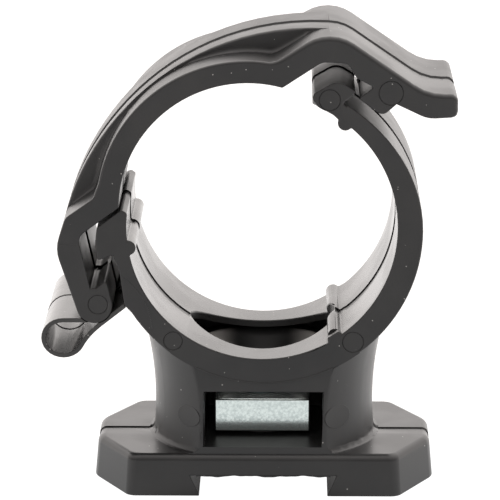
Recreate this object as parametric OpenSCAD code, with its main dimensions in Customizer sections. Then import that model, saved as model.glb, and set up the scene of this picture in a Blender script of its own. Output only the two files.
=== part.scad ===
// Snap-in pipe clamp: a saddle on a pedestal foot, a hooked closing strap on a film hinge,
// and a captive square nut in the pedestal's window.
// The pipe runs along Y through the origin, +Z is up and the foot's underside is the lowest face.

/* [Pipe and bore] */
// Outside diameter of the pipe that the clamp holds
pipe_d = 33.7; // [30:0.1:38]
// Gap between the pipe and the tips of the bearing ribs
rib_gap = 0.15; // [0.05:0.05:0.4]
// Height of the bearing ribs above the bore
rib_h = 1; // [0.6:0.1:1.4]
// Length of the clamp along the pipe
clamp_l = 25; // [20:0.5:32]

/* [Saddle] */
// Mean wall of the saddle ring
ring_wall = 3.05; // [2.6:0.05:4]
// How far the ring's outer face is shifted towards the latch side
ring_shift = 0.35; // [0:0.05:0.5]
// How far the ring's outer face is shifted downwards
ring_drop = 0.35; // [0:0.05:0.5]
// Wall of the right arm where it reaches the latch head
arm_tip_wall = 2.1; // [1.6:0.05:2.6]
// Length of the eye-shaped opening in the saddle's floor
eye_l = 19.8; // [16:0.2:21]
// Width of that opening along the pipe
eye_w = 14.2; // [11:0.2:15]
// Wall that is left between the bore and the hollow below it, round that opening
shell_t = 0.9; // [0.6:0.1:1.1]
// Diameter of the hollow
hollow_d = 22.4; // [21.2:0.1:23]

/* [Closing strap] */
// Wall of the strap's band
strap_wall = 3; // [2.4:0.1:3.6]
// Gap between the pipe and the closed strap
strap_gap = 0.25; // [0.1:0.05:0.5]
// How far left of the pipe axis the relaxed strap's centre lies
strap_left = 1.9; // [1.6:0.1:2.2]
// How far above the pipe axis the relaxed strap's centre lies
strap_lift = 2.5; // [2.2:0.1:2.8]
// Width of the stiffening web along the strap's back
web_w = 12.2; // [8:0.2:16]
// Radius of the round lobe at the strap's hinge end
lobe_r = 2.4; // [2:0.05:2.5]

/* [Film hinge] */
// Thickness of the film
film_t = 0.6; // [0.4:0.05:0.8]
// Radius of the film's loop, at the middle of the film
loop_r = 2.45; // [2.2:0.05:2.7]
// How many times wider than high the loop is
loop_stretch = 1.09; // [1:0.01:1.15]
// Gap between the film's end and the strap's lobe
film_gap = 0.05; // [0.02:0.01:0.2]

/* [Pedestal] */
// Height of the pipe axis above the foot's underside
axis_h = 37; // [35:0.5:45]
// Radius of the pedestal at its waist
waist_r = 14.95; // [13.5:0.05:15.5]
// Height of the waist above the foot's underside
waist_h = 10.3; // [9:0.1:12]
// How far the pedestal, the window and the foot stand towards the latch side
body_shift = 0.2; // [0:0.05:0.4]
// Radius of the fillet between the pedestal and the foot
root_fillet = 0.8; // [0.4:0.1:1.2]
// How far the pedestal's flat front stands back from the ring's face
front_inset = 0.12; // [0.05:0.01:0.4]
// Diameter of the funnel-shaped shaft at its rim in the hollow
shaft_d = 18; // [15:0.2:19]
// Diameter of the shaft where it reaches the nut's chamber
shaft_end_d = 13; // [11:0.2:13.6]
// Depth of the shaft's rim below the bore
shaft_depth = 1.35; // [1.2:0.05:2]

/* [Foot] */
// Width of the foot across the pipe
foot_w = 46.4; // [42:0.2:54]
// Depth of the foot along the pipe
foot_d = 27; // [25:0.5:34]
// Height of the foot
foot_h = 5.7; // [5:0.1:7]
// Width of the foot's front and rear faces between the long corner cuts
foot_face_w = 36.4; // [34:0.2:40]
// Depth of the foot's end faces between the corner cuts
foot_end_d = 9; // [6:0.5:12]
// Radius along the foot's upper edges
foot_edge_r = 1; // [0.5:0.1:1.5]
// How much further out the foot's faces stand at the underside than at the top
foot_draft = 0.5; // [0.2:0.1:0.8]
// Width of the dovetail recess at the foot's underside
dovetail_w = 17.2; // [15:0.2:19]
// How much wider the recess is at its ceiling
dovetail_flare = 2.6; // [1:0.2:3.6]
// Height of the dovetail recess
dovetail_h = 2.8; // [2:0.1:3.4]

/* [Nut and chamber] */
// Width of the square nut across its flats
nut_w = 13; // [12:0.1:14]
// Thickness of the nut
nut_h = 4.6; // [4:0.1:6.5]
// Bore of the nut, at the crests of its thread
nut_bore_d = 6.65; // [6:0.05:7.2]
// Radius of the nut's upright corners
nut_corner_r = 0.25; // [0.1:0.05:0.6]
// Room on each side of the nut in the chamber
chamber_side = 1.5; // [0.8:0.1:2]
// Height of the chamber
chamber_h = 7.7; // [7:0.1:8.4]
// Height of the window's sill above the foot
sill_h = 0.9; // [0.6:0.1:1.2]
// Height of the round land that carries the nut
land_h = 0.4; // [0.3:0.1:1]
// Diameter of the bolt's clearance hole below the nut
bolt_hole_d = 9; // [8.4:0.1:10]

/* [Hidden] */
$fn = 96;

plastic = [0.17, 0.17, 0.18];
zinc = [0.82, 0.86, 0.85];

bore_r = pipe_d / 2 + rib_gap + rib_h;
// The heads, the strap's ends and the film are drawn for an 18 mm bore and grow with it
grown = bore_r / 18;
ring_r = bore_r + ring_wall;
ring_c = [ring_shift, -ring_drop];
strap_in_r = pipe_d / 2 + strap_gap;
strap_out_r = strap_in_r + strap_wall;
strap_c = [-strap_left, strap_lift];

// Angles round the pipe axis, from the right, seen from the front
rib_angles = [52.5, 188.7, 303];
latch_angle = 57.5;
ring_end_angle = 211.4;

// Reference points that the latch and the hook are drawn from
latch = bore_r * [cos(latch_angle), sin(latch_angle)];
hook = [-bore_r, 0];

// Angles of the strap's band about its own centre, and where its two ends run into it
band_start_angle = 76;
band_end_angle = 172;
kink_angle = band_start_angle + 12;
leg_angle = band_end_angle - 8;
band_mid_r = strap_in_r + strap_wall / 2;
web_angles = [156.65, 111.65];

// Film hinge: the loop's centre is the axis that the strap swings about
loop_c = hook + grown * [-8.6, -15.15];
lobe_c = hook + grown * [-4.4, -10.7];
// Angle at which the film's straight run reaches the loop, and how gently it bends into it
loop_angle = -25;
film_ease = 1.2 * grown;

// Levels
foot_z = -axis_h;
foot_top = foot_z + foot_h;
floor_z = foot_top + sill_h;
nut_z = floor_z + land_h;
recess_z = foot_z + dovetail_h;
ceiling_z = floor_z + chamber_h;
shaft_z = -bore_r - shaft_depth;
shaft_slope = (shaft_d - shaft_end_d) / (shaft_z - ceiling_z);
// Half of the room between the shaft's rim and the wall above it
rim_room = (shaft_depth - shell_t) / 2;
waist_z = foot_z + waist_h;
chamber_half = nut_w / 2 + chamber_side;
chamber_back = 0.5;
land_margin = 1.3;

// The pedestal's waist curve runs up to the ring's outer face at this angle below the horizontal
flare_angle = 32.5;
flare_r = ring_r * cos(flare_angle) - ring_shift + body_shift;
flare_z = ring_c.y - ring_r * sin(flare_angle);
flare_out = flare_r - waist_r;
waist_curve_r = (pow(flare_z - waist_z, 2) + pow(flare_out, 2)) / (2 * flare_out);

// Small overlap that lets joined shapes run into each other
merge = 1;
fillet_step = 12;
eye_step = 10;

function unit(v) = v / norm(v);
function on_circle(c, r, a) = c + r * [cos(a), sin(a)];
function arc(c, r, a, b, n) = [for (i = [0:n]) on_circle(c, r, a + (b - a) * i / n)];

// Arc of radius r that rounds the corner b between a and c
function fillet(a, b, c, r) =
    let (
        u = unit(a - b),
        v = unit(c - b),
        half = acos(u * v) / 2,
        m = b + unit(u + v) * r / sin(half),
        s = b + u * r / tan(half) - m,
        e = b + v * r / tan(half) - m,
        start = atan2(s.y, s.x),
        turn = atan2(e.y, e.x) - start,
        sweep = turn > 180 ? turn - 360 : turn < -180 ? turn + 360 : turn
    )
    arc(m, r, start, start + sweep, max(2, ceil(abs(sweep) / fillet_step)));

// Corners [x, z, fillet radius] drawn from the point at, grown with the bore
function drawn(at, corners) = [for (c = corners) [at.x, at.y, 0] + grown * c];

// Corner with no fillet at the point p
function sharp(p) = [p.x, p.y, 0];

// Outline from corners [x, z, fillet radius]
function rounded(corners) =
    let (
        n = len(corners),
        p = [for (c = corners) [c.x, c.y]]
    )
    [for (i = [0:n - 1])
        each corners[i].z == 0 ? [p[i]] : fillet(p[(i + n - 1) % n], p[i], p[(i + 1) % n], corners[i].z)];

function bezier(a, b, c, d, n) =
    [for (i = [0:n])
        let (t = i / n, s = 1 - t)
        s * s * s * a + 3 * s * s * t * b + 3 * s * t * t * c + t * t * t * d];

// Outline drawn in X and Z, as long as w along the pipe
module along_pipe(w) {
    rotate([90, 0, 0]) linear_extrude(w, center = true) children();
}

// Part of a ring between two angles
module ring_sector(r_in, r_out, a, b) {
    reach = r_out / cos((b - a) / 8) + merge;
    difference() {
        intersection() {
            circle(r_out);
            polygon(concat([[0, 0]], arc([0, 0], reach, a, b, 4)));
        }
        circle(r_in);
    }
}

// Saddle: right arm, whose wall thins from the horizontal up to the latch head
module right_arm() {
    steps = 14;
    thin = ring_wall + ring_c * [cos(latch_angle), sin(latch_angle)] - arm_tip_wall;
    outer = [for (i = [0:steps])
        let (t = i / steps, ease = t * t * (3 - 2 * t))
        on_circle(ring_c, ring_r - thin * ease, latch_angle * t)];
    polygon(concat([ring_c], outer));
}

// Saddle: latch head with its barb, drawn from the latch point
module latch_head() {
    polygon(rounded(drawn(latch, [
        [-3.07, 0, 0], [-3.07, 2.95, 0.9], [0.25, 4.85, 2.2], [2.75, 3.35, 0.25], [0.95, 1.75, 0.15],
        [3.4, -0.7, 0], [1.5, -1.9, 0]
    ])));
}

// Saddle: left arm with the T-shaped hook head, drawn from the hook point
module hook_arm() {
    polygon(rounded(drawn(hook, [
        [2, -1, 0], [1.2, 1.2, 0], [-0.62, 2.5, 0.6], [-3.95, 0.05, 0.7], [-4.2, -2.2, 4],
        [-3.95, -4.5, 0.25], [-1.85, -3.65, 0.3], [-1, -6, 6], [-0.4, -10.6, 0], [1.1, -12.2, 0], [3, -10, 0]
    ])));
}

// Outline of the ring, its arms and heads, with the bore still to cut
module saddle_outline() {
    translate(ring_c) ring_sector(bore_r - merge, ring_r, ring_end_angle, 360);
    right_arm();
    latch_head();
    hook_arm();
}

// Half-round ribs that the pipe bears on
module bearing_ribs() {
    for (a = rib_angles)
        translate(on_circle([0, 0], bore_r, a)) circle(rib_h);
}

module saddle() {
    along_pipe(clamp_l) {
        difference() {
            saddle_outline();
            circle(bore_r);
        }
        intersection() {
            bearing_ribs();
            circle(bore_r + merge / 2);
        }
    }
}

// Waisted pedestal, turned about the nut's axis and faced off flat in front and behind
module pedestal() {
    foot_r = waist_r + waist_curve_r - sqrt(pow(waist_curve_r, 2) - pow(foot_top + root_fillet - waist_z, 2));
    intersection() {
        rotate_extrude() {
            difference() {
                translate([0, foot_top - merge]) square([flare_r + merge, flare_z - foot_top + merge]);
                translate([waist_r + waist_curve_r, waist_z]) circle(waist_curve_r, $fn = 360);
            }
            difference() {
                translate([0, foot_top - merge]) square([foot_r + root_fillet, root_fillet + merge]);
                translate([foot_r + root_fillet, foot_top + root_fillet]) circle(root_fillet);
            }
        }
        translate([0, 0, -axis_h]) cube([2 * ring_r, clamp_l - 2 * front_inset, 2 * axis_h], center = true);
    }
}

// Foot: eight drafted sides, rounded along their upper edges
module foot() {
    end = foot_w / 2;
    front = foot_d / 2;
    side = [end - foot_face_w / 2, front - foot_end_d / 2];
    cut_angle = atan(side.x / side.y);
    cut = end * cos(cut_angle) + foot_end_d / 2 * sin(cut_angle);
    intersection_for (s = [[0, end], [90, front], [cut_angle, cut], [-cut_angle, cut]])
        rotate([0, 0, s[0]]) along_pipe(2 * foot_w) foot_section(s[1]);
}

// Upright section of the foot between its faces at plus and minus half
module foot_section(half) {
    top = half - foot_draft;
    polygon(rounded([
        [-half, foot_z, 0], [half, foot_z, 0], [top, foot_top, foot_edge_r], [-top, foot_top, foot_edge_r]
    ]));
}

// Recess through the foot's underside, wider at its ceiling
module dovetail() {
    bottom = dovetail_w / 2;
    top = bottom + dovetail_flare / 2;
    along_pipe(foot_d + 2 * merge)
        polygon([[-bottom, foot_z - merge], [bottom, foot_z - merge], [bottom, foot_z], [top, recess_z],
                 [-top, recess_z], [-bottom, foot_z]]);
}

// Chamber behind the window, with the round land that carries the nut
module nut_chamber() {
    back = nut_w / 2 + chamber_back;
    difference() {
        translate([body_shift - chamber_half, -foot_d / 2, floor_z])
            cube([2 * chamber_half, foot_d / 2 + back, chamber_h]);
        translate([0, 0, floor_z - merge]) cylinder(h = land_h + merge, d = bolt_hole_d + 2 * land_margin);
    }
}

// Eye-shaped opening in the saddle's floor, the hollow below it and the shaft down to the chamber
module bolt_access() {
    translate([0, 0, shaft_z]) linear_extrude(bore_r)
        polygon([for (a = [0:eye_step:360 - eye_step]) [eye_l / 2 * cos(a), eye_w / 2 * sin(a)]]);
    difference() {
        translate([0, 0, shaft_z]) cylinder(h = bore_r, d = hollow_d);
        along_pipe(clamp_l) circle(bore_r + shell_t);
    }
    translate([0, 0, ceiling_z - merge]) cylinder(
        h = shaft_z - ceiling_z + merge + rim_room,
        d1 = shaft_end_d - shaft_slope * merge,
        d2 = shaft_d + shaft_slope * rim_room
    );
}

module clamp_base() {
    color(plastic) difference() {
        union() {
            saddle();
            difference() {
                translate([body_shift, 0, 0]) pedestal();
                along_pipe(clamp_l + 2 * merge) circle(bore_r);
            }
            translate([body_shift, 0, 0]) foot();
        }
        translate([body_shift, 0, 0]) dovetail();
        nut_chamber();
        bolt_access();
        translate([0, 0, foot_z]) cylinder(h = nut_z - foot_z + nut_h, d = bolt_hole_d);
    }
}

// Strap: hooked leg at the left, ending in the round lobe
module strap_leg() {
    polygon(rounded(concat(drawn(hook, [
        [0.4, 3.78, 0], [-6.5, -1.3, 1.6], [-4.8, -8.9, 0.15], [-2.75, -7.15, 0.3], [-2.1, -10.1, 0],
        [-4.4, -10.7, 0], [-6.7, -11.4, 0], [-9.55, -2.9, 5], [-8.15, 1.35, 1.6], [-4.4, 4, 1]
    ]), [
        sharp(on_circle(strap_c, strap_out_r - merge / 4, leg_angle)),
        sharp(on_circle(strap_c, band_mid_r, leg_angle))
    ])));
    translate(lobe_c) circle(lobe_r);
}

// Strap: sprung kink, hump, latch nose and finger lever at the right, drawn from the latch point
module strap_latch() {
    polygon(rounded(concat(drawn(latch, [
        [-7.97, 7.2, 3.5], [-0.73, 11.8, 5.8], [12.15, 2.95, 7], [16.13, 3, 1], [16.08, -0.1, 0.9],
        [12.03, -0.3, 4], [8.08, 1.77, 0.15], [6.22, 0.04, 1.1], [2.95, 2.4, 0.25], [5, 3.92, 0.12],
        [2.73, 5.12, 0.4], [1.63, 7.05, 1.2], [-1.77, 7.25, 2], [-7.07, 3.75, 0]
    ]), [
        sharp(on_circle(strap_c, strap_in_r - merge, kink_angle)),
        sharp(on_circle(strap_c, strap_out_r - merge / 4, kink_angle))
    ])));
}

// Outer edge of the web: one smooth arch over the band's two dips
module strap_web() {
    shoulder = hook + grown * [-8.5, 0.4];
    over_shoulder = on_circle(strap_c, strap_out_r + grown * 3.65, web_angles[0]);
    over_kink = on_circle(strap_c, strap_out_r + grown * 6, web_angles[1]);
    hump = latch + grown * [-0.85, 10.67];
    polygon(concat(
        bezier(shoulder, over_shoulder, over_kink, hump, 24),
        [latch + grown * [-1.2, 8.5], latch + grown * [-8, 5.5], strap_c, hook + grown * [-6, 1.2]]
    ));
}

module closing_strap() {
    color(plastic) {
        along_pipe(clamp_l) difference() {
            union() {
                translate(strap_c)
                    ring_sector(strap_in_r - merge, strap_out_r, band_start_angle, band_end_angle);
                strap_leg();
                strap_latch();
            }
            translate(strap_c) circle(strap_in_r);
        }
        along_pipe(web_w) difference() {
            strap_web();
            translate(strap_c) circle(band_mid_r);
        }
    }
}

// Point of the film's loop at the angle a
function on_loop(a) = loop_c + loop_r * [loop_stretch * cos(a), sin(a)];

// Film: a straight run from the saddle, the loop, and a short run to the strap's lobe
module film_outline() {
    root = hook + grown * [0.2, -10.25];
    bend = hook + grown * [-3.6, -13.25];
    loop_steps = 18;
    loop_start = loop_angle - fillet_step;
    entry = on_loop(loop_angle);
    into_loop = unit([loop_stretch * sin(loop_angle), -cos(loop_angle)]);
    path = concat(
        [root],
        bezier(bend, bend + film_ease * unit(bend - root), entry - film_ease * into_loop, entry, 6),
        [for (i = [0:loop_steps]) on_loop(loop_start - (270 + loop_start) * i / loop_steps)],
        [[lobe_c.x, loop_c.y + loop_r]]
    );
    last = len(path) - 1;
    // Direction square to the path at each of its points
    side = [for (i = [0:last])
        let (d = unit(path[min(i + 1, last)] - path[max(i - 1, 0)]))
        film_t / 2 * [-d.y, d.x]];
    polygon(concat([for (i = [0:last]) path[i] + side[i]], [for (i = [last:-1:0]) path[i] - side[i]]));
}

module film_hinge() {
    color(plastic) along_pipe(clamp_l) difference() {
        film_outline();
        saddle_outline();
        circle(bore_r);
        translate(lobe_c) circle(lobe_r + film_gap);
    }
}

module square_nut() {
    half = nut_w / 2;
    color(zinc) translate([0, 0, nut_z]) difference() {
        linear_extrude(nut_h) polygon(rounded([
            [-half, -half, nut_corner_r], [half, -half, nut_corner_r],
            [half, half, nut_corner_r], [-half, half, nut_corner_r]
        ]));
        translate([0, 0, -merge]) cylinder(h = nut_h + 2 * merge, d = nut_bore_d);
    }
}

clamp_base();
closing_strap();
film_hinge();
square_nut();
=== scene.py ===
"""Snap-in pipe clamp, dressed for its picture.

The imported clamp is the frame. Each plastic piece starts as a copy of its node: its edges are rounded, the
marks of its mould are cut in and its finish is set. The square nut is modelled afresh, with its chamfers
and its thread. Lengths are in millimetres until they reach Blender, which counts in metres.
"""

import math

import bmesh
import bpy
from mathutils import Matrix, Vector


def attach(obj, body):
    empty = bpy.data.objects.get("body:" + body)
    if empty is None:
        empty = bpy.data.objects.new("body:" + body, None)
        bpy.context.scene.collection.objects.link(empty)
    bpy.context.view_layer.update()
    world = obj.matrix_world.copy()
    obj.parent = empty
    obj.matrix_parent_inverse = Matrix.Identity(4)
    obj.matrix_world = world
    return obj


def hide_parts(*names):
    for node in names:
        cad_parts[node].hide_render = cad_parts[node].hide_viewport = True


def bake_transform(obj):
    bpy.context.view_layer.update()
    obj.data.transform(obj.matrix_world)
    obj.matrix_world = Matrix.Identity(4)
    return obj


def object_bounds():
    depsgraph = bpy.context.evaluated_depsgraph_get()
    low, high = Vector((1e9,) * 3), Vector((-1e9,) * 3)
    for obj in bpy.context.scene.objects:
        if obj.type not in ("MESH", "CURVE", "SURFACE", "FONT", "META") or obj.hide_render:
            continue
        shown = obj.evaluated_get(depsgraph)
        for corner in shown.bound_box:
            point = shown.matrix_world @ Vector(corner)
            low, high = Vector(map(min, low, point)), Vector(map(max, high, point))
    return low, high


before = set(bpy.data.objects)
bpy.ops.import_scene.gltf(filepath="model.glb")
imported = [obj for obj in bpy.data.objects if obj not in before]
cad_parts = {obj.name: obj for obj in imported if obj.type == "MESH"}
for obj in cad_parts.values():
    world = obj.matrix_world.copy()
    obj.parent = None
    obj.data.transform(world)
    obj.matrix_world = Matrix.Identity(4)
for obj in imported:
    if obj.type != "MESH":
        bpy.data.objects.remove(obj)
cad_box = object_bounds()

MM = 0.001

# How near a place has to lie to a face or an edge that it belongs to
TIGHT = 0.05
LOOSE = 0.1
WIDE = 0.3

# Levels and radii of the clamp that the details are placed by
BORE_R = 18.0
HALF_L = 12.5
BODY_X = 0.2
FOOT_TOP = -31.3
# Height of the rounding between the column and the foot's top, and half the column's width there
FOOT_ROOT = 1.4
COLUMN_HALF = 11.0
# The foot's corners on the right, x from its middle and y, and how far their edges may lie off and lean
FOOT_CORNERS = [(17.7, 12.9), (22.4, 4.3)]
FOOT_CORNER_REACH = 2.2
FOOT_CORNER_LEAN = 2.0
HEAD_CORNER = (6.6, 16.75)
HEAD_CORNER_LENGTH = 1.0
RING_CENTRE = (0.35, -0.35)
RING_OUT_R = 21.05
RECESS_Z = -34.2
# Round hollow under the eye: its radius, and a level above all of it
HOLLOW_R = 11.2
HOLLOW_TOP_Z = -14.0
# Band of the strap: its centre, its outer radius, and how deep below that its outer side goes
STRAP_CENTRE = (-1.9, 2.5)
STRAP_OUT_R = 20.1
STRAP_SKIN = 0.5
WEB_HALF = 6.1
LOOP_CENTRE = Vector((-26.6, 0, -15.15))
# Rise of the line that parts the film's upper run from the strip on the base
LOOP_SLOPE = 0.585
# Shaft from the hollow down to the nut, and a level in the nut's chamber below it
SHAFT_Z = -19.35
SHAFT_LIP = 0.02
SHAFT_R = 9.0
SHAFT_END_Z = -22.66
CHAMBER_Z = -24.0
# Countersunk shaft in section, radius and z, from its lower end round the lip and back outside
SHAFT_SECTION = [(6.45, SHAFT_END_Z), (6.75, -21.8), (8.6, -19.72), (8.85, -19.45),
                 (9.1, -19.34), (9.5, -19.33), (9.5, -19.8), (7.3, SHAFT_END_Z)]
NUT_SIDE = 13.0
NUT_H = 4.6
NUT_Z = -30.0
THREAD_R = 3.325
THREAD_OUT_R = 4.0
THREAD_PITCH = 1.25
# Section of the thread's cutter: half its height at the bore, and how far inside the bore it starts
THREAD_HALF = 0.46
THREAD_IN = 0.1
THREAD_STEPS = 32
ROUND_STEPS = 96

# Rounding of the moulded edges, by place
EDGE_R = 0.2
EDGE_SEGMENTS = 3
FILM_EDGE_R = 0.12
NUT_EDGE_R = 0.22
FOOT_CORNER_SETBACK = 0.9
HEAD_CORNER_SETBACK = 1.1
CORNER_SEGMENTS = 5
LEVER_EDGE_R = 0.65
BAND_EDGE_R = 0.35
WEB_EDGE_R = 0.45
WEB_ROOT_R = 0.8
# At most these shares of the web's height, and no rounding where it is low
WEB_EDGE_SHARE = 0.3
WEB_ROOT_SHARE = 0.5
LOW_WEB = 0.6
# Upright cuts that part the web's long sides, so that a tight corner can't disturb the whole side
WEB_CUTS = (-25.2, -22.3, -15, 0, 5.6)
# Line through the middle of the hump and the lever, in x and z
LEVER_MIDDLE = [(1.2, 21), (8.8, 23.8), (21.8, 16.9), (27, 16.7)]
HUMP_X = LEVER_MIDDLE[0][0]
LEVER_END_X = 24
LEVER_END_R = 0.3
# Where the strap's rounding grows: up the lever's end, along to the hump, and up from the leg
LEVER_END_Z = (15.4, 17.8)
HUMP_START_X = (-1, 4)
LEG_TOP_Z = (4, 8)
# Edges of the base that stay sharp: how near they lie to the root's ends and to the ring's low step
ROOT_END_IN = 1.0
ROOT_END_REACH = 1.2
RING_STEP_REACH = 0.35
RING_STEP_Z = -17.0
SHARP_ANGLE = math.radians(34)
FLAT_ANGLE = math.radians(0.5)
# Arcs finer than this are merged first, so that the rounding can't fold over itself
MERGE = 0.2
FILM_MERGE = 0.02
FINE_MERGE = 0.005
# Edges shorter than this are slivers that the cuts left
SLIVER = 0.003

# Step at the mould's parting line: the front half dips towards it
STEP_RUN = 3.0
STEP_EDGE = 0.03
STEP_H = 0.19
STRAP_STEP_H = 0.26
FILM_STEP_H = 0.1
# How near a vertex lies to the cut that made it
ON_CUT = 0.005
# Cuts closer together than this, in metres, would fall into one
CUT_THRESHOLD = 1e-6

# Right rib, lower at the front rim: its turn about the bore and its reach, and its low end with the step
RIB_TURN = math.radians(303)
RIB_REACH = 1.2
LOW_RIB_Y = -11.1
LOW_RIB_H = 0.6
LOW_RIB_RUN = 0.15

# Rings that the ejector pins left on the front: x, z and radius
BASE_PINS = [(8.9, 17.4, 1.4), (-11.9, -15.5, 1.25), (12.2, -15.6, 1.4)]
STRAP_PINS = [(-21.9, -10.5, 1.3), (16.95, 18.35, 1.6)]
PIN_STEPS = 40
PIN_GROOVE_R = 0.08
PIN_GROOVE_OUT = 0.03
# Edges this near to a ring, and in front of this level, belong to it
PIN_RING_REACH = 0.2
PIN_RING_Y = -9.0

# Flat ends of the pins that shaped the round column: x, z and radius
COLUMN_PINS = [(-9.9, -26.4, 1.5), (10.2, -26.4, 1.65)]
PIN_END_OUT = 0.05
PIN_END_T = 0.4
PIN_END_EDGE_R = 0.04

# Fine raised lines where pieces of the mould met, in x and z
ARM_SEAM = [(-18.8, -6.5), (-17.7, -7.4), (-16.7, -8.4), (-15.9, -9.6), (-15.3, -10.9), (-14.9, -12.4),
            (-14.7, -13.9)]
STRAP_SEAM = [(-26.9, -2.3), (-24.7, -2.2)]
SEAM_R = 0.05
# The ring's lower edge, which shows as such a line across the pedestal
RING_SEAM_R = 0.1
RING_SEAM_TURNS = [math.radians(degrees) for degrees in range(244, 297, 2)]

# Wavy fringe of plastic that was squeezed out along the recess's front edge
FLASH_FROM, FLASH_TO = -8.9, 9.3
FLASH_STEPS = 90
FLASH_Y = -12.9
FLASH_T = 0.15
FLASH_ROOT = 0.2
FLASH_H = 0.16
# Waves along it: height, radians per millimetre and phase
FLASH_WAVES = [(0.08, 0.8, 0.6), (0.05, 1.9, 0), (0.02, 4.1, 1)]

# Colour of the dust specks, and of the painted light on the shaft's left and right walls, which grows from x
# to x on either side
DUST_COLOUR = (0.3, 0.29, 0.28, 1)
SHAFT_SIDE_LIGHT = (0.5, 0.48, 0.46, 1)
SIDE_LIGHT_FROM_X, SIDE_LIGHT_FULL_X = 3.2, 8

# Finish: depth of the grain, roughness below and above the mean, and the foot's share of the bore's polish
GRAIN_DEPTH = 0.02
ROUGH_BELOW, ROUGH_ABOVE = 0.03, 0.04
PLASTIC_IOR = 1.5
BORE_MARGIN = 0.06
FOOT_SHEEN = 0.35
ZINC_DARK = (0.56, 0.63, 0.62, 1)
ZINC_PALE = (0.7, 0.77, 0.75, 1)


# Modelling helpers

def select_only(obj):
    bpy.ops.object.select_all(action="DESELECT")
    obj.select_set(True)
    bpy.context.view_layer.objects.active = obj


def start_editing(obj):
    select_only(obj)
    bpy.ops.object.mode_set(mode="EDIT")
    bpy.ops.mesh.select_mode(type="VERT")
    bpy.ops.mesh.select_all(action="DESELECT")


def start_editing_all(obj):
    start_editing(obj)
    bpy.ops.mesh.select_all(action="SELECT")


def done_editing():
    bpy.ops.object.mode_set(mode="OBJECT")


def pick_vertices(obj, test):
    """Edit mode with only those vertices selected whose place in millimetres passes the test."""
    start_editing(obj)
    done_editing()
    for vertex in obj.data.vertices:
        vertex.select = test(vertex.co / MM)
    bpy.ops.object.mode_set(mode="EDIT")


def pick_faces(obj, test):
    """Edit mode with only those faces selected whose middle in millimetres passes the test."""
    start_editing(obj)
    bpy.ops.mesh.select_mode(type="FACE")
    done_editing()
    for face in obj.data.polygons:
        face.select = test(face.center / MM)
    bpy.ops.object.mode_set(mode="EDIT")


def apply_modifier(obj, kind, **settings):
    select_only(obj)
    modifier = obj.modifiers.new(kind.lower(), kind)
    for name, value in settings.items():
        setattr(modifier, name, value)
    bpy.ops.object.modifier_apply(modifier=modifier.name)


def copy_of_node(node, name, merged=MERGE, stays_fine=lambda place: False):
    """A clean copy of a node: its loose triangles merged, and its flat faces made whole again."""
    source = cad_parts[node]
    obj = bpy.data.objects.new(name, source.data.copy())
    bpy.context.scene.collection.objects.link(obj)
    obj.data.name = name
    obj.data.materials.clear()
    start_editing_all(obj)
    bpy.ops.mesh.remove_doubles(threshold=FINE_MERGE * MM)
    done_editing()
    pick_vertices(obj, lambda p: not stays_fine(p))
    bpy.ops.mesh.remove_doubles(threshold=merged * MM)
    bpy.ops.mesh.select_all(action="SELECT")
    bpy.ops.mesh.dissolve_limited(angle_limit=FLAT_ANGLE)
    done_editing()
    return obj


def round_edges(obj, radius, keeps_sharp=lambda place: False):
    """Rounds all sharp edges by one radius, apart from those whose middle is kept sharp."""
    mesh = bmesh.new()
    mesh.from_mesh(obj.data)
    weights = obj.data.attributes.new("bevel_weight_edge", "FLOAT", "EDGE")
    for edge in mesh.edges:
        middle = (edge.verts[0].co + edge.verts[1].co) / (2 * MM)
        rounds = edge.calc_face_angle(0) > SHARP_ANGLE and not keeps_sharp(middle)
        weights.data[edge.index].value = float(rounds)
    mesh.free()
    apply_modifier(obj, "BEVEL", width=radius * MM, segments=EDGE_SEGMENTS, limit_method="WEIGHT",
                   use_clamp_overlap=False)
    obj.data.attributes.remove(obj.data.attributes["bevel_weight_edge"])


def round_corners(obj, setback, chosen):
    """Rounds the chosen edges, each given by its two ends, with a larger setback."""
    start_editing(obj)
    bpy.ops.mesh.select_mode(type="EDGE")
    done_editing()
    for edge in obj.data.edges:
        first, second = (obj.data.vertices[index].co / MM for index in edge.vertices)
        edge.select = chosen(first, second)
    bpy.ops.object.mode_set(mode="EDIT")
    bpy.ops.mesh.bevel(offset=setback * MM, segments=CORNER_SEGMENTS, affect="EDGES", clamp_overlap=False)
    done_editing()


def edge_lines(obj, level, hollow=False):
    """Sharp edges that far in front of the middle, as pairs of points: ridges, or hollow corners."""
    mesh = bmesh.new()
    mesh.from_mesh(obj.data)
    lines = []
    for edge in mesh.edges:
        first, second = (vertex.co / MM for vertex in edge.verts)
        turn = edge.calc_face_angle_signed(0)
        at_level = abs(first.y + level) < TIGHT and abs(second.y + level) < TIGHT
        if at_level and abs(turn) > SHARP_ANGLE and (turn < 0) == hollow:
            lines.append((first.xz, second.xz))
    mesh.free()
    return lines


def widen_rounding(obj, lines, level, radius_at):
    """Spreads the rounded strips along some lines to the radius that is given for each place."""
    reach = 1.5 * EDGE_R
    for vertex in obj.data.vertices:
        place = vertex.co / MM
        off = abs(place.y) - level
        if abs(off) > reach:
            continue
        near = nearest(place.xz, lines)
        if math.dist(near, place.xz) > reach:
            continue
        scale = max(1, radius_at(near) / EDGE_R)
        across = near + (place.xz - near) * scale
        vertex.co = Vector((across.x, math.copysign(level + off * scale, place.y), across.y)) * MM


def nearest(point, lines):
    """Point on any of the lines nearest to another point."""
    found = []
    for first, second in lines:
        along = second - first
        share = (point - first).dot(along) / along.length_squared
        found.append(first + along * min(1, max(0, share)))
    return min(found, key=lambda other: math.dist(other, point))


def ramp(value, low, high, at_low, at_high):
    share = min(1, max(0, (value - low) / (high - low)))
    return at_low + (at_high - at_low) * share


def cut_away(obj, cutter):
    apply_modifier(obj, "BOOLEAN", operation="DIFFERENCE", solver="EXACT", object=cutter)
    bpy.data.objects.remove(cutter)


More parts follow.
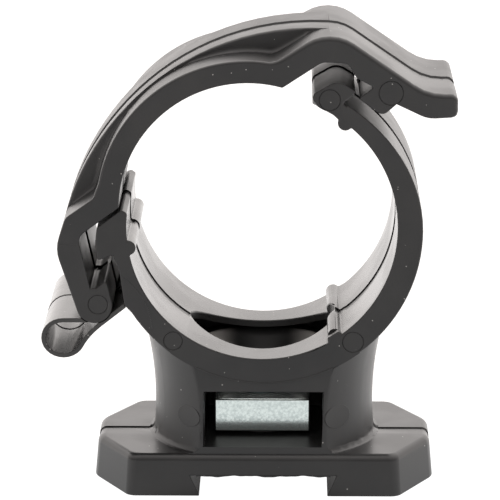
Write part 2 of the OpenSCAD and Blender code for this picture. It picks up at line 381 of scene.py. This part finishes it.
def on_front(obj, x, z):
    """Point and normal where the front of a piece is met at x and z."""
    bpy.context.view_layer.update()
    return obj.ray_cast(Vector((x, -2 * HALF_L, z)) * MM, (0, 1, 0))[1:3]


def thin_line(obj, points, radius, out=0, closed=False):
    """Thin round line on the front of a piece, or a little out from it, along points in x and z."""
    curve = bpy.data.curves.new("thin_line", "CURVE")
    curve.dimensions = "3D"
    curve.bevel_depth = radius * MM
    curve.bevel_resolution = 1
    curve.use_fill_caps = True
    line = curve.splines.new("POLY")
    line.points.add(len(points) - 1)
    line.use_cyclic_u = closed
    for point, (x, z) in zip(line.points, points):
        place = on_front(obj, x, z)[0]
        point.co = (place.x, place.y - out * MM, place.z, 1)
    made = bpy.data.objects.new("thin_line", curve)
    bpy.context.scene.collection.objects.link(made)
    select_only(made)
    bpy.ops.object.convert(target="MESH")
    return made


def arc(centre, radius, turns):
    """Points at some turns round a centre, in x and z."""
    return [(centre[0] + radius * math.cos(turn), centre[1] + radius * math.sin(turn)) for turn in turns]


def pin_rings(obj, pins):
    """Fine round grooves that the ejector pins left on the flat front."""
    for x, z, radius in pins:
        turns = [math.tau * step / PIN_STEPS for step in range(PIN_STEPS)]
        ring = arc((x, z), radius, turns)
        cut_away(obj, thin_line(obj, ring, PIN_GROOVE_R, PIN_GROOVE_OUT, closed=True))


def pin_ends(obj, pins):
    """Flat round ends of pins on the round column, which look circular from the front."""
    made = []
    for x, z, radius in pins:
        place, normal = on_front(obj, x, z)
        bpy.ops.object.select_all(action="DESELECT")
        bpy.ops.mesh.primitive_cylinder_add(
            vertices=PIN_STEPS, radius=radius * MM, depth=PIN_END_T * MM,
            location=place + normal * (PIN_END_OUT - PIN_END_T / 2) * MM,
            rotation=normal.to_track_quat("Z", "Y").to_euler())
        disc = bpy.context.object
        disc.scale.x = 1 / abs(normal.y)
        bpy.ops.object.transform_apply()
        apply_modifier(disc, "BEVEL", width=PIN_END_EDGE_R * MM, segments=2)
        made.append(disc)
    return made


def add_to(obj, others):
    select_only(obj)
    for other in others:
        other.select_set(True)
    bpy.ops.object.join()


def parting_step(obj, height, shows):
    """Step along the middle of the moulding, where the mould's two halves met."""
    start_editing(obj)
    for y in (-STEP_RUN, -STEP_EDGE, 0):
        bpy.ops.mesh.select_all(action="SELECT")
        bpy.ops.mesh.bisect(plane_co=(0, y * MM, 0), plane_no=(0, 1, 0), threshold=CUT_THRESHOLD)
    done_editing()
    pick_vertices(obj, lambda p: abs(p.y + STEP_EDGE) < ON_CUT and shows(p))
    bpy.ops.transform.shrink_fatten(value=-height * MM)
    done_editing()


def face_outwards(obj):
    start_editing_all(obj)
    bpy.ops.mesh.normals_make_consistent(inside=False)
    done_editing()


def smooth(obj):
    """Clears the slivers, then smooths the rounded faces and keeps the flat ones flat."""
    start_editing_all(obj)
    bpy.ops.mesh.dissolve_degenerate(threshold=SLIVER * MM)
    done_editing()
    bpy.ops.object.shade_smooth_by_angle(angle=SHARP_ANGLE)
    apply_modifier(obj, "WEIGHTED_NORMAL", mode="FACE_AREA", keep_sharp=True)


# Shader helpers

def shader_node(tree, kind, settings=(), **sockets):
    """New node, with its properties set, and each socket set to a value or linked to an output."""
    made = tree.nodes.new("ShaderNode" + kind)
    for name, value in dict(settings).items():
        setattr(made, name, value)
    for name, value in sockets.items():
        fill(tree, made.inputs[name.replace("_", " ")], value)
    return made


def fill(tree, socket, value):
    if isinstance(value, bpy.types.NodeSocket):
        tree.links.new(value, socket)
    else:
        socket.default_value = value


def math_node(tree, operation, first, second=0.0):
    made = tree.nodes.new("ShaderNodeMath")
    made.operation = operation
    fill(tree, made.inputs[0], first)
    fill(tree, made.inputs[1], second)
    return made.outputs[0]


def mixed_colour(tree, factor, first, second):
    made = tree.nodes.new("ShaderNodeMix")
    made.data_type = "RGBA"
    for index, value in ((0, factor), (6, first), (7, second)):
        fill(tree, made.inputs[index], value)
    return made.outputs[2]


def mixed_value(tree, factor, first, second):
    made = tree.nodes.new("ShaderNodeMix")
    for index, value in ((0, factor), (2, first), (3, second)):
        fill(tree, made.inputs[index], value)
    return made.outputs[0]


def spread(tree, value, low, high, to_low=0.0, to_high=1.0):
    made = shader_node(tree, "MapRange", {"interpolation_type": "SMOOTHSTEP"}, Value=value,
                       From_Min=low, From_Max=high, To_Min=to_low, To_Max=to_high)
    return made.outputs[0]


def new_group(name, inputs, outputs):
    """Empty node group with float sockets, and a vector that the pattern lies on."""
    tree = bpy.data.node_groups.new(name, "ShaderNodeTree")
    tree.interface.new_socket("Vector", in_out="INPUT", socket_type="NodeSocketVector")
    for socket, value in inputs.items():
        made = tree.interface.new_socket(socket, in_out="INPUT", socket_type="NodeSocketFloat")
        made.default_value = value
    for socket in outputs:
        tree.interface.new_socket(socket, in_out="OUTPUT", socket_type="NodeSocketFloat")
    return tree, tree.nodes.new("NodeGroupInput").outputs, tree.nodes.new("NodeGroupOutput").inputs


def placed_group(tree, group, **sockets):
    made = tree.nodes.new("ShaderNodeGroup")
    made.node_tree = group
    for name, value in sockets.items():
        fill(tree, made.inputs[name], value)
    return made.outputs


def moulded_skin():
    """Skin of a moulding: fine grain and drawing lines for the bump, and broad cloudy patches."""
    tree, given, out = new_group("moulded_skin", {"Grain": 5000.0, "Clouds": 130.0}, ["Height", "Patches"])
    grain = shader_node(tree, "TexNoise", Vector=given["Vector"], Scale=given["Grain"], Detail=3.0)
    along = shader_node(tree, "Mapping", Vector=given["Vector"], Scale=(0.1, 1, 0.1))
    drawn = shader_node(tree, "TexNoise", Vector=along.outputs[0], Scale=given["Grain"], Detail=2.0)
    relief = math_node(tree, "ADD", grain.outputs[0], drawn.outputs[0])
    clouds = shader_node(tree, "TexNoise", Vector=given["Vector"], Scale=given["Clouds"], Detail=4.0)
    tree.links.new(relief, out["Height"])
    tree.links.new(spread(tree, clouds.outputs[0], 0.3, 0.7), out["Patches"])
    return tree


def dust_specks():
    """Scattered pale specks: a few of the cells hold one small dot each."""
    tree, given, out = new_group("dust_specks", {"Cells": 900.0, "Share": 0.5, "Size": 0.1}, ["Mask"])
    cells = shader_node(tree, "TexVoronoi", Vector=given["Vector"], Scale=given["Cells"])
    chance = shader_node(tree, "SeparateColor", Color=cells.outputs["Color"])
    chosen = math_node(tree, "LESS_THAN", chance.outputs[0], given["Share"])
    dot = math_node(tree, "LESS_THAN", cells.outputs["Distance"],
                    math_node(tree, "MULTIPLY", given["Size"], chance.outputs[1]))
    tree.links.new(math_node(tree, "MULTIPLY", chosen, dot), out["Mask"])
    return tree


def polished_bore():
    """Mask of what has the mould's polish: the bore between its end faces, and less so the foot."""
    tree, given, out = new_group("polished_bore", {"Radius": (BORE_R + BORE_MARGIN) * MM}, ["Mask"])
    place = shader_node(tree, "SeparateXYZ", Vector=given["Vector"])
    flat = shader_node(tree, "CombineXYZ", X=place.outputs["X"], Z=place.outputs["Z"])
    length = shader_node(tree, "VectorMath", {"operation": "LENGTH"})
    tree.links.new(flat.outputs[0], length.inputs[0])
    inside = math_node(tree, "LESS_THAN", length.outputs["Value"], given["Radius"])
    along = math_node(tree, "ABSOLUTE", place.outputs["Y"])
    within = math_node(tree, "LESS_THAN", along, (HALF_L - TIGHT) * MM)
    foot = math_node(tree, "LESS_THAN", place.outputs["Z"], (FOOT_TOP + FOOT_ROOT) * MM)
    sheen = math_node(tree, "MULTIPLY", foot, FOOT_SHEEN)
    wall = math_node(tree, "MULTIPLY", inside, within)
    tree.links.new(math_node(tree, "MAXIMUM", wall, sheen), out["Mask"])
    return tree


def painted_shaft_light():
    """Mask of painted light in the shaft under the eye: a paler colour on its left and right walls stands in
    for the light they catch.
    """
    tree, given, out = new_group("painted_shaft_light", {"Radius": (SHAFT_R + WIDE) * MM}, ["Mask"])
    place = shader_node(tree, "SeparateXYZ", Vector=given["Vector"])
    flat = shader_node(tree, "CombineXYZ", X=place.outputs["X"], Y=place.outputs["Y"])
    length = shader_node(tree, "VectorMath", {"operation": "LENGTH"})
    tree.links.new(flat.outputs[0], length.inputs[0])
    inside = math_node(tree, "LESS_THAN", length.outputs["Value"], given["Radius"])
    below = math_node(tree, "LESS_THAN", place.outputs["Z"], (SHAFT_Z + SHAFT_LIP) * MM)
    above = math_node(tree, "GREATER_THAN", place.outputs["Z"], SHAFT_END_Z * MM)
    aside = math_node(tree, "ABSOLUTE", place.outputs["X"])
    # Painted light: none in the middle of the shaft's wall, full towards its left and right
    lit_sides = spread(tree, aside, SIDE_LIGHT_FROM_X * MM, SIDE_LIGHT_FULL_X * MM)
    where = math_node(tree, "MULTIPLY", inside, math_node(tree, "MULTIPLY", below, above))
    tree.links.new(math_node(tree, "MULTIPLY", where, lit_sides), out["Mask"])
    return tree


def new_material(name):
    material = bpy.data.materials.new(name)
    material.use_nodes = True
    tree = material.node_tree
    tree.nodes.clear()
    shader = tree.nodes.new("ShaderNodeBsdfPrincipled")
    output = tree.nodes.new("ShaderNodeOutputMaterial")
    tree.links.new(shader.outputs[0], output.inputs[0])
    place = tree.nodes.new("ShaderNodeTexCoord").outputs["Object"]
    return material, tree, shader.inputs, place


def charcoal_plastic(name, dark, pale, rough, bore_rough):
    """Satin black plastic, cloudy where it flowed in the mould, with a little dust and with painted light on
    the shaft's side walls.
    """
    material, tree, shader, place = new_material(name)
    skin = placed_group(tree, SKIN, Vector=place)
    dust = placed_group(tree, DUST, Vector=place)
    bore = placed_group(tree, BORE, Vector=place)
    shaft = placed_group(tree, SHAFT, Vector=place)
    body = mixed_colour(tree, skin["Patches"], (*dark, 1), (*pale, 1))
    speck = mixed_colour(tree, dust["Mask"], body, DUST_COLOUR)
    # The shaft's left and right walls are painted paler, as painted light on them
    fill(tree, shader["Base Color"], mixed_colour(tree, shaft["Mask"], speck, SHAFT_SIDE_LIGHT))
    satin = spread(tree, skin["Patches"], 0, 1, rough - ROUGH_BELOW, rough + ROUGH_ABOVE)
    polish = spread(tree, bore["Mask"], 0, 1, 0, rough - bore_rough)
    fill(tree, shader["Roughness"], math_node(tree, "SUBTRACT", satin, polish))
    shader["IOR"].default_value = PLASTIC_IOR
    bump = shader_node(tree, "Bump", Strength=0.1, Distance=GRAIN_DEPTH * MM, Height=skin["Height"])
    fill(tree, shader["Normal"], bump.outputs[0])
    return material


def zinc_plate():
    """Bright zinc, with the cloudy mottling of plated steel."""
    material, tree, shader, place = new_material("zinc_plate")
    skin = placed_group(tree, SKIN, Vector=place, Grain=2600.0, Clouds=3000.0)
    fill(tree, shader["Base Color"], mixed_colour(tree, skin["Patches"], ZINC_DARK, ZINC_PALE))
    shader["Metallic"].default_value = 1.0
    fill(tree, shader["Roughness"], spread(tree, skin["Patches"], 0, 1, 0.2, 0.14))
    bump = shader_node(tree, "Bump", Strength=0.12, Distance=GRAIN_DEPTH * MM, Height=skin["Height"])
    fill(tree, shader["Normal"], bump.outputs[0])
    return material


SKIN = moulded_skin()
DUST = dust_specks()
BORE = polished_bore()
SHAFT = painted_shaft_light()
PLASTIC = charcoal_plastic("charcoal_plastic", dark=(0.012, 0.012, 0.0125), pale=(0.02, 0.0195, 0.0195),
                           rough=0.38, bore_rough=0.24)
FILM_PLASTIC = charcoal_plastic("film_plastic", dark=(0.026, 0.026, 0.026), pale=(0.038, 0.037, 0.036),
                                rough=0.22, bore_rough=0.22)
ZINC = zinc_plate()


# Pieces

def finish_piece(obj, material, slot, *nodes):
    obj.data.materials.append(material)
    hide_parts(*nodes)


def in_pin_ring(place, pins):
    if place.y > PIN_RING_Y:
        return False
    return any(abs(math.dist(place.xz, (x, z)) - radius) < PIN_RING_REACH for x, z, radius in pins)


def sharp_on_base(place):
    """Whether an edge stays sharp: at the root's ends, the ring's low step, the shaft or the pins' rings."""
    at_root = abs(place.z - FOOT_TOP) < ROOT_END_REACH and abs(place.x) < COLUMN_HALF
    on_root_end = at_root and abs(place.y) > HALF_L - ROOT_END_IN
    in_hollow = abs(place.x) < HOLLOW_R + WIDE and abs(place.y) < HOLLOW_R and place.z < HOLLOW_TOP_Z
    under_bore = math.hypot(place.x, place.z) > BORE_R + WIDE
    in_shaft = in_hollow and under_bore and place.z > CHAMBER_Z
    at_ring = abs(math.dist(place.xz, RING_CENTRE) - RING_OUT_R) < RING_STEP_REACH
    on_ring_step = at_ring and abs(place.y) > HALF_L - EDGE_R and place.z < RING_STEP_Z
    return on_root_end or on_ring_step or in_shaft or in_pin_ring(place, BASE_PINS)


def on_foot_corner(first, second):
    """Whether an edge runs up one of the foot's eight blunt corners."""
    def near(p):
        across = (abs(p.x - BODY_X), abs(p.y))
        close = any(math.dist(across, corner) < FOOT_CORNER_REACH for corner in FOOT_CORNERS)
        return close and p.z < FOOT_TOP + LOOSE

    lean = max(abs(first.x - second.x), abs(first.y - second.y))
    return near(first) and near(second) and lean < FOOT_CORNER_LEAN


def on_head_corner(first, second):
    """Whether an edge is the latch head's lower left corner."""
    near = all(math.dist(p.xz, HEAD_CORNER) < LOOSE for p in (first, second))
    return near and abs(first.y - second.y) > HEAD_CORNER_LENGTH


def recess_flash():
    """Thin wavy fringe of plastic on the front edge of the recess's ceiling."""
    bpy.ops.object.select_all(action="DESELECT")
    bpy.ops.mesh.primitive_grid_add(
        x_subdivisions=FLASH_STEPS, y_subdivisions=1, size=1, rotation=(math.pi / 2, 0, 0),
        location=((FLASH_FROM + FLASH_TO) / 2 * MM, FLASH_Y * MM, RECESS_Z * MM))
    fringe = bpy.context.object
    fringe.scale = ((FLASH_TO - FLASH_FROM) * MM, 2 * FLASH_ROOT * MM, 1)
    bpy.ops.object.transform_apply()
    for vertex in fringe.data.vertices:
        x = vertex.co.x / MM
        if vertex.co.z < RECESS_Z * MM:
            waves = sum(height * math.sin(rate * x + phase) for height, rate, phase in FLASH_WAVES)
            vertex.co.z = (RECESS_Z - FLASH_H - waves) * MM
    apply_modifier(fringe, "SOLIDIFY", thickness=FLASH_T * MM, offset=0)
    return fringe


def shaft_lining():
    """Smooth countersunk wall of the shaft under the eye."""
    bpy.ops.object.select_all(action="DESELECT")
    bpy.ops.mesh.primitive_circle_add(vertices=len(SHAFT_SECTION), radius=MM, fill_type="NOTHING")
    lining = bpy.context.object
    for vertex, (radius, z) in zip(lining.data.vertices, SHAFT_SECTION):
        vertex.co = Vector((radius, 0, z)) * MM
    apply_modifier(lining, "SCREW", steps=ROUND_STEPS, render_steps=ROUND_STEPS, use_merge_vertices=True,
                   merge_threshold=0.001 * MM)
    face_outwards(lining)
    return lining


def lower_rib(obj):
    """Pushes the right rib's front end in, behind a short step."""
    root = Vector((math.cos(RIB_TURN), math.sin(RIB_TURN))) * BORE_R
    for y in (LOW_RIB_Y, LOW_RIB_Y - LOW_RIB_RUN):
        pick_faces(obj, lambda p: math.dist(p.xz, root) < RIB_REACH and math.hypot(p.x, p.z) < BORE_R)
        bpy.ops.mesh.bisect(plane_co=(0, y * MM, 0), plane_no=(0, 1, 0), threshold=CUT_THRESHOLD)
        done_editing()
    for vertex in obj.data.vertices:
        place = vertex.co / MM
        radius = math.hypot(place.x, place.z)
        in_front = place.y < LOW_RIB_Y - LOW_RIB_RUN / 2
        if in_front and radius < BORE_R - LOW_RIB_H and math.dist(place.xz, root) < RIB_REACH:
            scale = (BORE_R - LOW_RIB_H) / radius
            vertex.co.x *= scale
            vertex.co.z *= scale


def clamp_base():
    obj = copy_of_node("clamp_base", "saddle_and_foot", stays_fine=lambda p: p.z < FOOT_TOP + LOOSE)
    round_corners(obj, FOOT_CORNER_SETBACK, on_foot_corner)
    round_corners(obj, HEAD_CORNER_SETBACK, on_head_corner)
    pin_rings(obj, BASE_PINS)
    round_edges(obj, EDGE_R, sharp_on_base)
    lower_rib(obj)

    def shows(p):
        below_bore = math.hypot(p.x, p.z) > BORE_R + TIGHT and p.z < 0
        return p.z > RECESS_Z + WIDE and not (below_bore and abs(p.x) < HOLLOW_R + LOOSE)

    parting_step(obj, STEP_H, shows)
    ring_edge = arc(RING_CENTRE, RING_OUT_R - RING_SEAM_R, RING_SEAM_TURNS)
    seams = [thin_line(obj, ARM_SEAM, SEAM_R), thin_line(obj, ring_edge, RING_SEAM_R)]
    add_to(obj, [recess_flash(), shaft_lining(), *seams, *pin_ends(obj, COLUMN_PINS)])
    smooth(obj)
    finish_piece(obj, PLASTIC, "plastic", "clamp_base")
    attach(obj, "base")


def strap_edge_radius(place):
    """Radius along the strap's front and rear edges: soft on the lever's and the band's upper side."""
    if place.x > LEVER_END_X:
        return ramp(place.y, *LEVER_END_Z, LEVER_END_R, LEVER_EDGE_R)
    if place.x > HUMP_X:
        for (x0, z0), (x1, z1) in zip(LEVER_MIDDLE, LEVER_MIDDLE[1:]):
            if x0 <= place.x <= x1 and place.y < ramp(place.x, x0, x1, z0, z1):
                return EDGE_R
    elif math.dist(place, STRAP_CENTRE) < STRAP_OUT_R - STRAP_SKIN:
        return EDGE_R
    along_band = ramp(place.x, *HUMP_START_X, BAND_EDGE_R, LEVER_EDGE_R)
    return min(along_band, ramp(place.y, *LEG_TOP_Z, EDGE_R, LEVER_EDGE_R))


def closing_strap():
    obj = copy_of_node("closing_strap", "snap_strap")
    face_lines = edge_lines(obj, HALF_L)
    web_ridges = edge_lines(obj, WEB_HALF)
    web_roots = edge_lines(obj, WEB_HALF, hollow=True)

    def on_web_side(place):
        return abs(abs(place.y) - WEB_HALF) < TIGHT

    def web_height(at):
        return max(math.dist(at, nearest(at, lines)) for lines in (web_ridges, web_roots))

    def stays_sharp(place):
        on_low_web = on_web_side(place) and web_height(place.xz) < LOW_WEB
        return on_low_web or in_pin_ring(place, STRAP_PINS)

    for x in WEB_CUTS:
        pick_faces(obj, on_web_side)
        bpy.ops.mesh.bisect(plane_co=(x * MM, 0, 0), plane_no=(1, 0, 0))
        done_editing()
    pin_rings(obj, STRAP_PINS)
    round_edges(obj, EDGE_R, stays_sharp)
    widen_rounding(obj, face_lines, HALF_L, strap_edge_radius)
    widen_rounding(obj, web_ridges, WEB_HALF, lambda at: min(WEB_EDGE_R, WEB_EDGE_SHARE * web_height(at)))
    widen_rounding(obj, web_roots, WEB_HALF, lambda at: min(WEB_ROOT_R, WEB_ROOT_SHARE * web_height(at)))
    parting_step(obj, STRAP_STEP_H, lambda p: True)
    add_to(obj, [thin_line(obj, STRAP_SEAM, SEAM_R)])
    smooth(obj)
    finish_piece(obj, PLASTIC, "plastic", "closing_strap")
    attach(obj, "strap")


def film_part(name, belongs):
    """Part of the film hinge: the faces that belong to it, closed where the rest was cut off."""
    obj = copy_of_node("film_hinge", name, FILM_MERGE)
    round_edges(obj, FILM_EDGE_R)
    parting_step(obj, FILM_STEP_H, lambda p: True)
    start_editing_all(obj)
    bpy.ops.mesh.bisect(plane_co=LOOP_CENTRE * MM, plane_no=(1, 0, 0))
    done_editing()
    pick_faces(obj, lambda p: not belongs(p))
    bpy.ops.mesh.delete(type="FACE")
    bpy.ops.mesh.select_all(action="SELECT")
    bpy.ops.mesh.fill_holes(sides=0)
    done_editing()
    smooth(obj)
    finish_piece(obj, FILM_PLASTIC, "plastic", "film_hinge")
    return obj


def in_loop(place):
    """Whether a place is in the left half of the film's loop, or in the run from its top to the strap."""
    over = place.z - LOOP_CENTRE.z > LOOP_SLOPE * (place.x - LOOP_CENTRE.x)
    return place.x < LOOP_CENTRE.x or over


def film_hinge():
    strip = film_part("film_strip", lambda p: not in_loop(p))
    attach(strip, "base")
    loop = film_part("film_loop", in_loop)
    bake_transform(loop)


def thread_cutter():
    """Helix with a three-cornered section, capped at both ends."""
    turns = math.ceil(NUT_H / THREAD_PITCH) + 2
    low = NUT_Z - THREAD_PITCH
    bpy.ops.object.select_all(action="DESELECT")
    bpy.ops.mesh.primitive_circle_add(vertices=3, radius=MM, fill_type="NOTHING")
    cutter = bpy.context.object
    in_r = THREAD_R - THREAD_IN
    corners = [(THREAD_OUT_R, 0), (in_r, THREAD_HALF), (in_r, -THREAD_HALF)]
    for vertex, (radius, rise) in zip(cutter.data.vertices, corners):
        vertex.co = Vector((radius, 0, low + rise)) * MM
    apply_modifier(cutter, "SCREW", screw_offset=THREAD_PITCH * MM, iterations=turns, steps=THREAD_STEPS,
                   render_steps=THREAD_STEPS, use_merge_vertices=False)
    start_editing_all(cutter)
    bpy.ops.mesh.fill_holes(sides=0)
    done_editing()
    face_outwards(cutter)
    return cutter


def square_nut():
    bpy.ops.object.select_all(action="DESELECT")
    bpy.ops.mesh.primitive_cube_add(size=1, location=(0, 0, (NUT_Z + NUT_H / 2) * MM),
                                    scale=(NUT_SIDE * MM, NUT_SIDE * MM, NUT_H * MM))
    bpy.ops.object.transform_apply()
    obj = bpy.context.object
    obj.name = "zinc_nut"
    obj.data.name = "zinc_nut"
    apply_modifier(obj, "BEVEL", width=NUT_EDGE_R * MM, segments=EDGE_SEGMENTS)
    bpy.ops.object.select_all(action="DESELECT")
    bpy.ops.mesh.primitive_cylinder_add(vertices=ROUND_STEPS, radius=THREAD_R * MM, depth=2 * NUT_H * MM,
                                        location=(0, 0, NUT_Z * MM))
    bpy.ops.object.transform_apply()
    cut_away(obj, bpy.context.object)
    cut_away(obj, thread_cutter())
    smooth(obj)
    finish_piece(obj, ZINC, "zinc", "square_nut")
    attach(obj, "base")


# Studio

FLOOR_SIZE = 6
FLOOR_COLOUR = (0.06, 0.06, 0.06, 1)
FLOOR_ROUGH = 0.9
WHITE = (1, 1, 1, 1)
WARM_WHITE = (1, 0.955, 0.93, 1)
# Bright enough to be plain white in the picture, in spite of the warm tint
SEEN_WHITE = 1.1
# How the light changes over the floor, in metres, and over the room, by direction: from, to, value at each
SIDE_GLOW = (0.025, 0.11, 0, 0.85)
REAR_GLOW = (-0.01, 0.05, 0, 0.65)
NEAR_GLOW = (-0.1, -0.02, 0.64, 0.92)
FOOT_SHADE = (0.012, 0.024, 0.15, 1)
ROOM_BEHIND = (-0.7, 0.7, 0.4, 1.9)
ROOM_ABOVE = (0.3, 1.0, 0.0, 1.0)

# Camera of the photo
CAMERA_PLACE = Vector((3.882, -429.144, 102.256))
CAMERA_PITCH = math.radians(14.165)
CAMERA_YAW = math.radians(0.752)
CAMERA_LENS = 232.9


def pale_floor():
    """White table for the eye. What the clamp mirrors is brighter behind and at the sides than in front."""
    bpy.ops.object.select_all(action="DESELECT")
    bpy.ops.mesh.primitive_plane_add(size=FLOOR_SIZE, location=(0, 0, cad_box[0].z))
    floor = bpy.context.object
    floor.name = "floor"
    material, tree, shader, place = new_material("pale_floor")
    shader["Base Color"].default_value = FLOOR_COLOUR
    shader["Roughness"].default_value = FLOOR_ROUGH
    aside = shader_node(tree, "SeparateXYZ", Vector=place)
    side = spread(tree, math_node(tree, "ABSOLUTE", aside.outputs["X"]), *SIDE_GLOW)
    rear = spread(tree, aside.outputs["Y"], *REAR_GLOW)
    near = spread(tree, aside.outputs["Y"], *NEAR_GLOW)
    beyond = math_node(tree, "MAXIMUM", side, rear)
    radius = shader_node(tree, "VectorMath", {"operation": "LENGTH"})
    tree.links.new(place, radius.inputs[0])
    shade = spread(tree, radius.outputs["Value"], *FOOT_SHADE)
    glow = math_node(tree, "MULTIPLY", math_node(tree, "ADD", beyond, near), shade)
    seen = tree.nodes.new("ShaderNodeLightPath").outputs["Is Camera Ray"]
    fill(tree, shader["Emission Strength"], mixed_value(tree, seen, glow, SEEN_WHITE))
    fill(tree, shader["Emission Color"], mixed_colour(tree, beyond, WHITE, WARM_WHITE))
    floor.data.materials.append(material)


def studio_light():
    """White all round for the eye; the light itself comes from behind, above and the sides."""
    scene = bpy.context.scene
    scene.view_settings.view_transform = "Standard"
    world = bpy.data.worlds.new("white_room")
    scene.world = world
    world.use_nodes = True
    tree = world.node_tree
    tree.nodes.clear()
    direction = tree.nodes.new("ShaderNodeTexCoord").outputs["Generated"]
    way = shader_node(tree, "SeparateXYZ", Vector=direction)
    behind = spread(tree, way.outputs["Y"], *ROOM_BEHIND)
    above = spread(tree, way.outputs["Z"], *ROOM_ABOVE)
    glow = math_node(tree, "ADD", behind, above)
    seen = tree.nodes.new("ShaderNodeLightPath").outputs["Is Camera Ray"]
    strength = mixed_value(tree, seen, glow, SEEN_WHITE)
    light = shader_node(tree, "Background", Color=WARM_WHITE, Strength=strength)
    output = tree.nodes.new("ShaderNodeOutputWorld")
    tree.links.new(light.outputs[0], output.inputs[0])


def photo_camera():
    """Camera a little above the pipe's axis and almost square to the front."""
    data = bpy.data.cameras.new("photo_camera")
    data.sensor_width = 36
    data.lens = CAMERA_LENS
    data.clip_start = 0.01
    camera = bpy.data.objects.new("photo_camera", data)
    camera.location = CAMERA_PLACE * MM
    camera.rotation_euler = (math.pi / 2 - CAMERA_PITCH, 0, CAMERA_YAW)
    bpy.context.scene.collection.objects.link(camera)
    bpy.context.scene.camera = camera


clamp_base()
closing_strap()
film_hinge()
square_nut()
pale_floor()
studio_light()
photo_camera()
